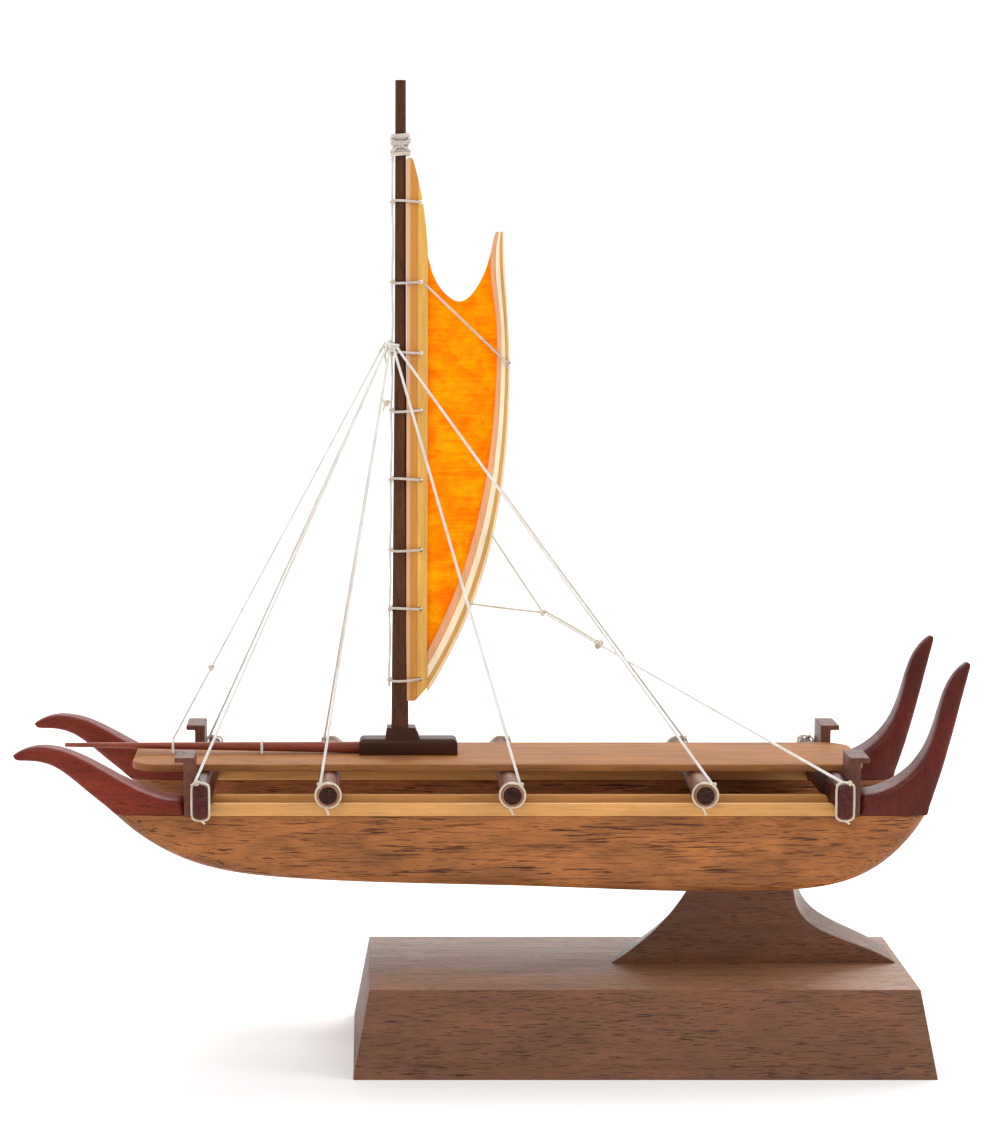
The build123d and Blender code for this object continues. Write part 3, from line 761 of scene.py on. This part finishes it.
class CANOE_OT_stays(bpy.types.Operator):
    """Rig the shrouds and the forestay."""
    bl_idname = "canoe.stays"
    bl_label = "Stays"

    def execute(self, context):
        look, white, cream, _ = threads()
        x, y, z = SHROUD_HEAD
        for name, side in SIDES:
            for number in (1, 2, 3, 4):
                head = (x + (number - 2.5) * SHROUD_SPACING, side * y, z)
                route = taut(head, shroud_foot(number, side), sag=STAY_SAG)
                cord_piece(f"shroud_{number}_{name}", route, look.thickness, white)
        low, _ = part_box("forestay")
        foot = (low.x + look.fine * 0.45, 0.0, low.z + look.fine * 0.25)
        tied_at = Vector(FORESTAY_HEAD).lerp(Vector(foot), FORESTAY_KNOT_AT)
        tied = knot("forestay_knot", tied_at, size=0.00055, diameter=0.0004, mat=cream)
        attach(tied, "canoe")
        route = taut(FORESTAY_HEAD, foot, sag=STAY_SAG)
        cord_piece("forestay", route, look.fine, white)
        return {"FINISHED"}


class CANOE_OT_sheet(bpy.types.Operator):
    """Rig the sheet, its bridle and the brace across the sail's head."""
    bl_idname = "canoe.sheet"
    bl_label = "Sheet and bridle"

    def execute(self, context):
        look, white, cream, grey = threads()
        start = Vector(BRIDLE_MEETING).lerp(Vector(SHEET_END), SHEET_STARTS_AT)
        sheet = cord_piece("sheet", taut(start, SHEET_END, sag=0.002), look.thickness, white,
                           body=None)
        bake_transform(sheet)
        tied_at = Vector(BRIDLE_MEETING).lerp(Vector(SHEET_END), SHEET_KNOT_AT)
        halfway = start.lerp(tied_at, 0.5)
        second_strand = [(start.x, start.y + 0.0004, start.z + 0.0004),
                         (halfway.x, halfway.y + 0.0003, halfway.z + 0.0006),
                         (tied_at.x, tied_at.y + 0.0003, tied_at.z + 0.0002)]
        parts = [spun_thread("doubled", flowing(second_strand), look.fine, cream),
                 knot("sheet_knot_core", tied_at, size=0.00085, diameter=0.0005, mat=cream,
                      facing=(0.3, -1, 0.2)),
                 knot("sheet_knot_turn", tied_at, size=0.00062, diameter=0.0005, mat=cream,
                      facing=(1, 0.2, 0))]
        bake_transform(joined("sheet_knot", parts))
        bridle = []
        for head in BRIDLE_LEGS:
            route = taut(head, BRIDLE_MEETING, sag=0.01)
            bridle.append(spun_thread("leg", flowing(route), look.fine, cream))
        bridle.append(knot("meeting", BRIDLE_MEETING, size=0.0006, diameter=0.00042, mat=cream,
                           facing=(0.2, -1, 0)))
        joined("bridle_thread", bridle, "sail", "bridle")
        route = taut(BRACE_HEAD, BRACE_FOOT, sag=0.004)
        brace = [spun_thread("line", flowing(route), look.fine * 0.9, grey),
                 knot("brace_end", BRACE_KNOT, size=0.0006, diameter=0.00042, mat=cream)]
        joined("brace_thread", brace, "sail", "brace_line")
        return {"FINISHED"}


class CANOE_OT_mast_lines(bpy.types.Operator):
    """Tie the robands, the line down the mast and the lashing at its head."""
    bl_idname = "canoe.mast_lines"
    bl_label = "Mast lines"

    def execute(self, context):
        look, white, cream, grey = threads()
        loops, ties = [], []
        for i, z in enumerate(ROBAND_HEIGHTS):
            loops.append(self.roband(i, z, look, grey))
            reach = mast_radius(z) + 0.00062
            place = (MAST_X - reach * 0.88, -reach * 0.48, z)
            ties.append(knot(f"line_knot_{i}", place, size=0.00045, diameter=0.00038, mat=cream,
                             facing=(-0.4, -1, 0)))
        ties = joined("line_knots", ties, "canoe")
        cord_piece("lacing_line", LACING_ROUTE, look.fine, white)
        joined("roband_threads", loops, "sail", "robands")
        joined("masthead_turns", self.lashing(look, grey, cream), "canoe", "masthead_lashing")
        joined("stay_knots", self.stay_knots(look, white, cream), "canoe", "shroud_knots")
        return {"FINISHED"}

    def roband(self, i, z, look, mat):
        """A loop round the mast and through its hole in the luff spar."""
        reach = mast_radius(z) + 0.00036
        slant = ROBAND_SLANTS[i % len(ROBAND_SLANTS)]
        hole, face = ROBAND_HOLE_X, SPAR_FACE_Y
        points = [(hole, -reach * 0.2, z), (hole, -face, z), (hole - 0.0002, -face - 0.00035, z),
                  (hole - 0.0018, -reach - 0.0001, z + slant * 0.5),
                  (MAST_X, -reach * 1.02, z + slant)]
        ring = reach * POST_GUIDE
        for degrees in range(245, 110, -30):
            turn = math.radians(degrees)
            points.append((MAST_X + ring * math.cos(turn), ring * math.sin(turn), z + slant))
        points += [(MAST_X, reach * 1.02, z + slant * 0.5), (hole - 0.0018, reach + 0.0001, z),
                   (hole - 0.0002, face + 0.00035, z), (hole, face, z), (hole, reach * 0.2, z)]
        line = flowing(points, closed=True)
        return spun_thread(f"roband_{i}", line, look.thickness * 0.95, mat, closed=True)

    def lashing(self, look, grey, cream):
        """Bands of turns round the mast above the luff spar, crossed by two more, and a knot."""
        bands = []
        for name, low, pitch, turns, outside in MASTHEAD_BANDS:
            points = []
            for i in range(turns * 12 + 1):
                turn = 2 * math.pi * i / 12 + low * 9000
                z = low + pitch * i / 12 + 0.00012 * math.sin(turn + low * 5000)
                uneven = 0.00004 * math.sin(2.3 * turn)
                ring = (mast_radius(z) + 0.00029 + outside + uneven) * POST_GUIDE
                points.append((MAST_X + ring * math.cos(turn), ring * math.sin(turn), z))
            # The grey turns carry painted shade; the lower band is cream.
            mat = cream if name == "lower" else grey
            bands.append(spun_thread(name, flowing(points), look.thickness, mat))
        radius = mast_radius(MASTHEAD_MIDDLE)
        ring = radius + 0.0008
        for lean in (1, -1):
            points = []
            for i in range(12):
                turn = 2 * math.pi * i / 12
                z = MASTHEAD_MIDDLE - 0.0001 + lean * 0.0011 * math.cos(turn)
                points.append((MAST_X + ring * math.cos(turn), ring * math.sin(turn), z))
            line = flowing(points, closed=True)
            bands.append(spun_thread("cross_turn", line, look.thickness * 0.9, grey, closed=True))
        front = -radius - 0.0003
        tied_at = (MAST_X - 0.0004, front - 0.0001, MASTHEAD_MIDDLE)
        bands.append(knot("lashing_knot", tied_at, size=0.00055, diameter=0.0004, mat=grey))
        tail = [(MAST_X - 0.0006, front, 0.1668), (MAST_X - 0.0012, front, 0.1660),
                (MAST_X - 0.0015, -0.0005, 0.1648), LACING_ROUTE[0]]
        bands.append(spun_thread("tail", flowing(tail), look.fine, grey))
        return bands

    def stay_knots(self, look, white, cream):
        """The turns round the mast where the stays are tied, with their knots and tails."""
        x, _, z = SHROUD_HEAD
        pieces = []
        for k, height in enumerate((z - 0.0003, z + 0.00025)):
            ring = mast_radius(height) + 0.00034
            points = []
            for i in range(9):
                turn = math.radians(100 + 20 * i)
                points.append((MAST_X + ring * math.cos(turn), ring * math.sin(turn),
                               height + 0.0001 * (i % 2)))
            pieces.append(spun_thread(f"turn_{k}", flowing(points), look.thickness, white))
        for _, side in SIDES:
            high, low = (x, side * 0.0017, z), (x + 0.0003, side * 0.0019, z - 0.0004)
            pieces.append(knot("side", high, size=0.00072, diameter=0.0005, mat=white,
                               facing=(0.4, side, 0.2)))
            pieces.append(knot("side_low", low, size=0.0005, diameter=0.0004, mat=cream,
                               facing=(1, side * 0.3, 0.4)))
        pieces.append(knot("low_knot", LOW_STAY_KNOT, size=0.00055, diameter=0.00042, mat=cream,
                           facing=(-0.5, -1, 0.2)))
        for tail in STAY_KNOT_TAILS:
            pieces.append(spun_thread("tail", flowing(tail), look.fine * 0.85, cream))
        front = (FORESTAY_HEAD[0] + 0.0007, 0, FORESTAY_HEAD[2] - 0.0001)
        pieces.append(knot("front", front, size=0.0006, diameter=0.0005, mat=white,
                           facing=(-1, -0.2, 0.3)))
        return pieces


class CANOE_OT_lashings(bpy.types.Operator):
    """Tie the threads at the beam ends and over the bowsprit."""
    bl_idname = "canoe.lashings"
    bl_label = "Lashings"

    def execute(self, context):
        look, white, cream, _ = threads()
        pieces = []
        for _, side in SIDES:
            for number in (1, 2, 3):
                pieces += self.round_lashing(number, side, look, cream)
        joined("beam_lashing_threads", pieces, "canoe", "beam_lashings")
        pieces = []
        for beam in ("end_beam_bow", "end_beam_stern"):
            for _, side in SIDES:
                pieces += self.flat_lashing(beam, side, look, cream)
        joined("end_beam_lashing_threads", pieces, "canoe", "end_beam_lashings")
        low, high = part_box("bowsprit")
        deck_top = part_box("deck")[1].z
        ties = []
        for x in SPRIT_TIES_X:
            share = (high.x - x) / (high.x - low.x)
            z = deck_top + 0.0011 + 0.00045 * share
            ring = 0.0011 - 0.0007 * share + LASHING_LIFT
            points = [(x, -ring, deck_top), (x, -ring, z), (x, -ring * 0.9, z + ring),
                      (x, ring * 0.9, z + ring), (x, ring, z), (x, ring, deck_top)]
            ties.append(spun_thread("tie", flowing(points), look.thickness, white))
        joined("bowsprit_tie_threads", ties, "canoe", "bowsprit_ties")
        return {"FINISHED"}

    def round_lashing(self, number, side, look, cream):
        """A full turn and a little more round a beam's end, a knot above and a short tail below."""
        low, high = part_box(f"cross_beam_{number}")
        middle = (low + high) / 2
        ring = (high.x - low.x) / 2 + LASHING_LIFT
        guide = BEAM_GUIDE * ring
        lean = -1 if number == 1 else 1
        first = math.radians(BEAM_TIE_DEGREES if lean > 0 else 180 - BEAM_TIE_DEGREES)
        points = []
        for i in range(15):
            turn = first + lean * 2 * math.pi * i / 12
            y = side * (LASHING_Y - 0.0001 + 0.0005 * i / 14)
            points.append((middle.x + guide * math.cos(turn), y, middle.z + guide * math.sin(turn)))
        out, under = side * (LASHING_Y + 0.0003), middle.z - ring
        tail = [(middle.x - 0.0006, out, under),
                (middle.x - 0.0001, out + side * 0.0002, under - 0.0004),
                (middle.x + 0.0001, out, under - 0.0013)]
        top = (middle.x + ring * math.cos(first), side * LASHING_Y,
               middle.z + ring * math.sin(first) + 0.0001)
        return [spun_thread("turns", flowing(points), look.thickness * 0.8, cream),
                spun_thread("tail", flowing(tail), look.fine * 0.8, cream),
                knot("top", top, size=0.0005, diameter=0.00038, mat=cream, facing=(0.2, side, 0.4))]

    def flat_lashing(self, beam, side, look, cream):
        """A full turn round the flat beam's end, with its knot on top and a tail below."""
        low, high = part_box(beam)
        middle = (low + high) / 2
        wide = (high.x - low.x) / 2 + 0.00032
        tall = (high.z - low.z) / 2 + 0.00032
        y = side * LASHING_Y
        points = []
        for x, z in ((-0.3, 1), (-0.93, 0.9), (-1, 0.6), (-1, -0.6), (-0.93, -0.93), (0, -1.02),
                     (0.93, -0.93), (1, -0.6), (1, 0.6), (0.93, 0.93), (0, 1.02), (-0.6, 1.05),
                     (-1.05, 0.85)):
            outward = side * 0.00003 * len(points)
            points.append((middle.x + x * wide, y + outward, middle.z + z * tall))
        aft = wide if "stern" in beam else -wide
        place = (middle.x + aft * 0.4, y + side * 0.0001, high.z + 0.0002)
        tail = [(middle.x, y, low.z - 0.0003),
                (middle.x + 0.0004, y + side * 0.0003, low.z - 0.0005),
                (middle.x + 0.0008, y + side * 0.0001, low.z - 0.0009)]
        return [spun_thread("turns", flowing(points), look.thickness * 0.85, cream),
                spun_thread("tail", flowing(tail), look.fine * 0.8, cream),
                knot("top", place, size=0.0005, diameter=0.0004, mat=cream, facing=(0, side, 1))]


class CANOE_OT_stand(bpy.types.Operator):
    """Finish the base block, the pedestal and the bolster in oiled walnut."""
    bl_idname = "canoe.stand"
    bl_label = "Stand"

    def execute(self, context):
        look = context.scene.canoe_woods
        pore = shaded(look.stand, 0.35)
        walnut = wood_finish("stand_walnut_oil", look.stand, pore, figure=0.2, pores=1.0,
                             pore_length=1.1, pore_width=0.6, polish=0.5, shine=0.3)
        # Painted light: faces turned up get this paler copy of the walnut for the light and sheen on
        # the top, the rest the plain walnut.
        painted_light = wood_finish("stand_top_painted_light_walnut_oil", look.painted_light_stand_top, pore, figure=0.16, pores=0.9,
                             pore_length=0.8, pore_width=0.6, polish=0.45, shine=0.45, offset=0.1)
        softened("stand_base", edge=0.0004, mats=[walnut, painted_light],
                 pick=lambda face: 1 if face.normal.z > 0.9 else 0)
        neck = wood_finish("pedestal_walnut_oil", shaded(look.stand, 1.12), pore, figure=0.18,
                           pores=0.8, pore_length=0.9, pore_width=0.6, polish=0.36, shine=0.2,
                           offset=0.3)
        softened("pedestal", edge=0.0003, mats=[neck])
        softened("bolster", edge=0.0003, mats=[walnut])
        pin = wood_finish("dowel_wood_plain", (0.55, 0.34, 0.16), (0.3, 0.16, 0.07), grain="Z",
                          figure=0.1, pores=0.3)
        for node in ("base_dowels", "bolster_dowels"):
            softened(node, edge=0.0001, mats=[pin], angle=60)
        return {"FINISHED"}


class CANOE_OT_hulls(bpy.types.Operator):
    """Finish the two hulls and their pale gunwale strips."""
    bl_idname = "canoe.hulls"
    bl_label = "Hulls"

    def execute(self, context):
        look = context.scene.canoe_woods
        koa = wood_finish("hull_koa_oil", look.hull, look.hull_pore, figure=0.36, pores=0.95,
                          pore_length=2.2, pore_width=0.8, polish=0.4, shine=0.14)
        pale = wood_finish("strip_maple_oil", look.strip, shaded(look.strip, 0.55), figure=0.12,
                           pores=0.35, pore_length=2.5, pore_width=0.6, polish=0.4)
        for name, _ in SIDES:
            softened(f"hull_{name}", edge=0.00025, mats=[koa], angle=45)
            for rail in ("outer", "inner"):
                softened(f"strip_{name}_{rail}", edge=0.00018, mats=[pale])
        return {"FINISHED"}


class CANOE_OT_horns(bpy.types.Operator):
    """Finish the swept bow pieces and the stern horns in dark red wood."""
    bl_idname = "canoe.horns"
    bl_label = "Bow and stern pieces"

    def execute(self, context):
        look = context.scene.canoe_woods
        bow = wood_finish("bow_redwood_polish", look.bow, shaded(look.bow, 0.35), figure=0.25,
                          pores=0.6, pore_length=0.45, pore_width=0.7, polish=0.34, shine=0.12)
        stern = wood_finish("stern_redwood_polish", look.stern, shaded(look.stern, 0.35), grain="Z",
                            figure=0.3, pores=0.6, pore_length=0.45, pore_width=0.7,
                            polish=0.32, shine=0.16)
        for name, _ in SIDES:
            carved(f"bow_piece_{name}", bow, (-1, 0, 0))
            carved(f"stern_piece_{name}", stern, (0.2, 0, 1))
        return {"FINISHED"}


class CANOE_OT_beams(bpy.types.Operator):
    """Finish the round beams, the flat end beams and the hooks."""
    bl_idname = "canoe.beams"
    bl_label = "Beams and hooks"

    def execute(self, context):
        look = context.scene.canoe_woods
        brown = wood_finish("beam_walnut_oil", look.beam, shaded(look.beam, 0.35), grain="Y",
                            figure=0.25, pores=0.6, pore_length=0.6, pore_width=0.5, polish=0.42)
        ring = wood_finish("beam_end_ring", tint(150, 104, 76), look.beam, grain="Y", figure=0.1,
                           pores=0.3)
        black = end_grain_finish("beam_end_grain", tint(34, 20, 16), tint(66, 42, 32))
        for number in (1, 2, 3):
            softened(f"cross_beam_{number}", edge=0.00005, mats=[brown, ring, black],
                     segments=1, pick=self.beam_wood)
        plum = wood_finish("end_beam_plum_oil", tint(80, 40, 33), tint(30, 14, 14), grain="Y",
                           figure=0.25, pores=0.6, pore_length=0.6, pore_width=0.5, polish=0.35)
        cut = end_grain_finish("end_beam_cut", tint(58, 26, 26), tint(92, 50, 46))
        for node in ("end_beam_bow", "end_beam_stern"):
            softened(node, edge=0.00025, mats=[plum, cut],
                     pick=lambda face: 1 if abs(face.normal.y) > 0.9 else 0)
        hook = wood_finish("hook_wood_oil", tint(98, 62, 48), tint(40, 24, 20), grain="Z",
                           figure=0.25, pores=0.6, pore_length=0.5, pore_width=0.5, polish=0.4)
        for end in ("bow", "stern"):
            for name, _ in SIDES:
                softened(f"hook_{end}_{name}", edge=0.0002, mats=[hook])
        return {"FINISHED"}

    def beam_wood(self, face):
        """End grain on a beam's flat ends, a paler ring round them, and brown wood elsewhere."""
        facing = abs(face.normal.y)
        return 2 if facing > 0.95 else 1 if facing > 0.3 else 0


class CANOE_OT_deck(bpy.types.Operator):
    """Finish the deck board, the mast step and the bowsprit."""
    bl_idname = "canoe.deck"
    bl_label = "Deck"

    def execute(self, context):
        look = context.scene.canoe_woods
        board = wood_finish("deck_koa_oil", look.deck, shaded(look.deck, 0.45), figure=0.18,
                            pores=0.6, pore_length=2.0, pore_width=0.6, polish=0.5, shine=0.05)
        softened("deck", edge=0.00022, mats=[board])
        dark = shaded(look.mast, 0.55)
        step = wood_finish("step_walnut_oil", dark, shaded(dark, 0.4), figure=0.2, pores=0.5,
                           pore_length=0.5, pore_width=0.5, polish=0.36, shine=0.1)
        softened("mast_step", edge=0.00025, mats=[step])
        rod = wood_finish("bowsprit_redwood", tint(136, 70, 52), tint(70, 30, 22), figure=0.25,
                          pores=0.5, pore_length=1.2, pore_width=0.4, polish=0.36)
        softened("bowsprit", edge=0.00005, mats=[rod], angle=60)
        return {"FINISHED"}


class CANOE_OT_mast(bpy.types.Operator):
    """Finish the tapered mast."""
    bl_idname = "canoe.mast"
    bl_label = "Mast"

    def execute(self, context):
        look = context.scene.canoe_woods
        dark = wood_finish("mast_walnut_oil", look.mast, shaded(look.mast, 0.35), grain="Z",
                           figure=0.25, pores=0.7, pore_length=0.8, pore_width=0.45, polish=0.4,
                           shine=0.06)
        softened("mast", edge=0.0001, mats=[dark], angle=60)
        return {"FINISHED"}


class CANOE_OT_sail(bpy.types.Operator):
    """Finish the dyed sail, the luff spar and the laminated boom."""
    bl_idname = "canoe.sail"
    bl_label = "Sail"

    def execute(self, context):
        look = context.scene.canoe_woods
        dyed = sail_finish("sail_orange_dye", look.sail)
        cut = wood_finish("sail_cut_edge", tint(246, 214, 150), tint(214, 160, 90), figure=0.1,
                          pores=0.3)
        softened("sail", edge=0.00012, mats=[dyed, cut], body="sail", segments=1,
                 pick=lambda face: 0 if abs(face.normal.y) > 0.9 else 1)
        # The spar's first band is a painted highlight along its rounded left edge.
        yellow = wood_finish("spar_bamboo_oil", look.spar, shaded(look.spar, 0.6), grain="Z",
                             figure=0.12, pores=0.4, pore_length=3.0, pore_width=0.5, polish=0.36,
                             bands=SPAR_BANDS_WITH_HIGHLIGHT)
        softened("luff_spar", edge=0.0004, mats=[yellow], body="sail")
        for node, card, slot in BOOM_LAYERS:
            base = tint(*card)
            mat = wood_finish(node + "_oil", base, shaded(base, 0.6), grain="Z", figure=0.1,
                              pores=0.35, pore_length=2.0, pore_width=0.5, polish=0.38)
            softened(node, edge=0.00012, mats=[mat], body="sail", segments=2)
        return {"FINISHED"}


OPERATORS = (CANOE_OT_stage, CANOE_OT_stays, CANOE_OT_sheet, CANOE_OT_mast_lines,
             CANOE_OT_lashings, CANOE_OT_stand, CANOE_OT_hulls, CANOE_OT_horns, CANOE_OT_beams,
             CANOE_OT_deck, CANOE_OT_mast, CANOE_OT_sail)


class CANOE_PT_panel(bpy.types.Panel):
    """Lists the canoe's pieces and their settings in the sidebar."""
    bl_label = "Canoe model"
    bl_idname = "CANOE_PT_panel"
    bl_space_type = "VIEW_3D"
    bl_region_type = "UI"
    bl_category = "Canoe"

    def draw(self, context):
        layout = self.layout
        for operator in OPERATORS:
            layout.operator(operator.bl_idname)
        for group in (context.scene.canoe_woods, context.scene.canoe_threads,
                      context.scene.canoe_stage):
            box = layout.box()
            for name in group.bl_rna.properties.keys():
                if name not in ("rna_type", "name"):
                    box.prop(group, name)


CLASSES = (CanoeWoods, CanoeThreads, CanoeStage, *OPERATORS, CANOE_PT_panel)


def register():
    for cls in CLASSES:
        bpy.utils.register_class(cls)
    bpy.types.Scene.canoe_woods = PointerProperty(type=CanoeWoods)
    bpy.types.Scene.canoe_threads = PointerProperty(type=CanoeThreads)
    bpy.types.Scene.canoe_stage = PointerProperty(type=CanoeStage)


def unregister():
    del bpy.types.Scene.canoe_stage
    del bpy.types.Scene.canoe_threads
    del bpy.types.Scene.canoe_woods
    for cls in reversed(CLASSES):
        bpy.utils.unregister_class(cls)


def main():
    """Register the add-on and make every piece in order."""
    register()
    for operator in OPERATORS:
        group, name = operator.bl_idname.split(".")
        getattr(getattr(bpy.ops, group), name)()


if __name__ == "__main__":
    main()
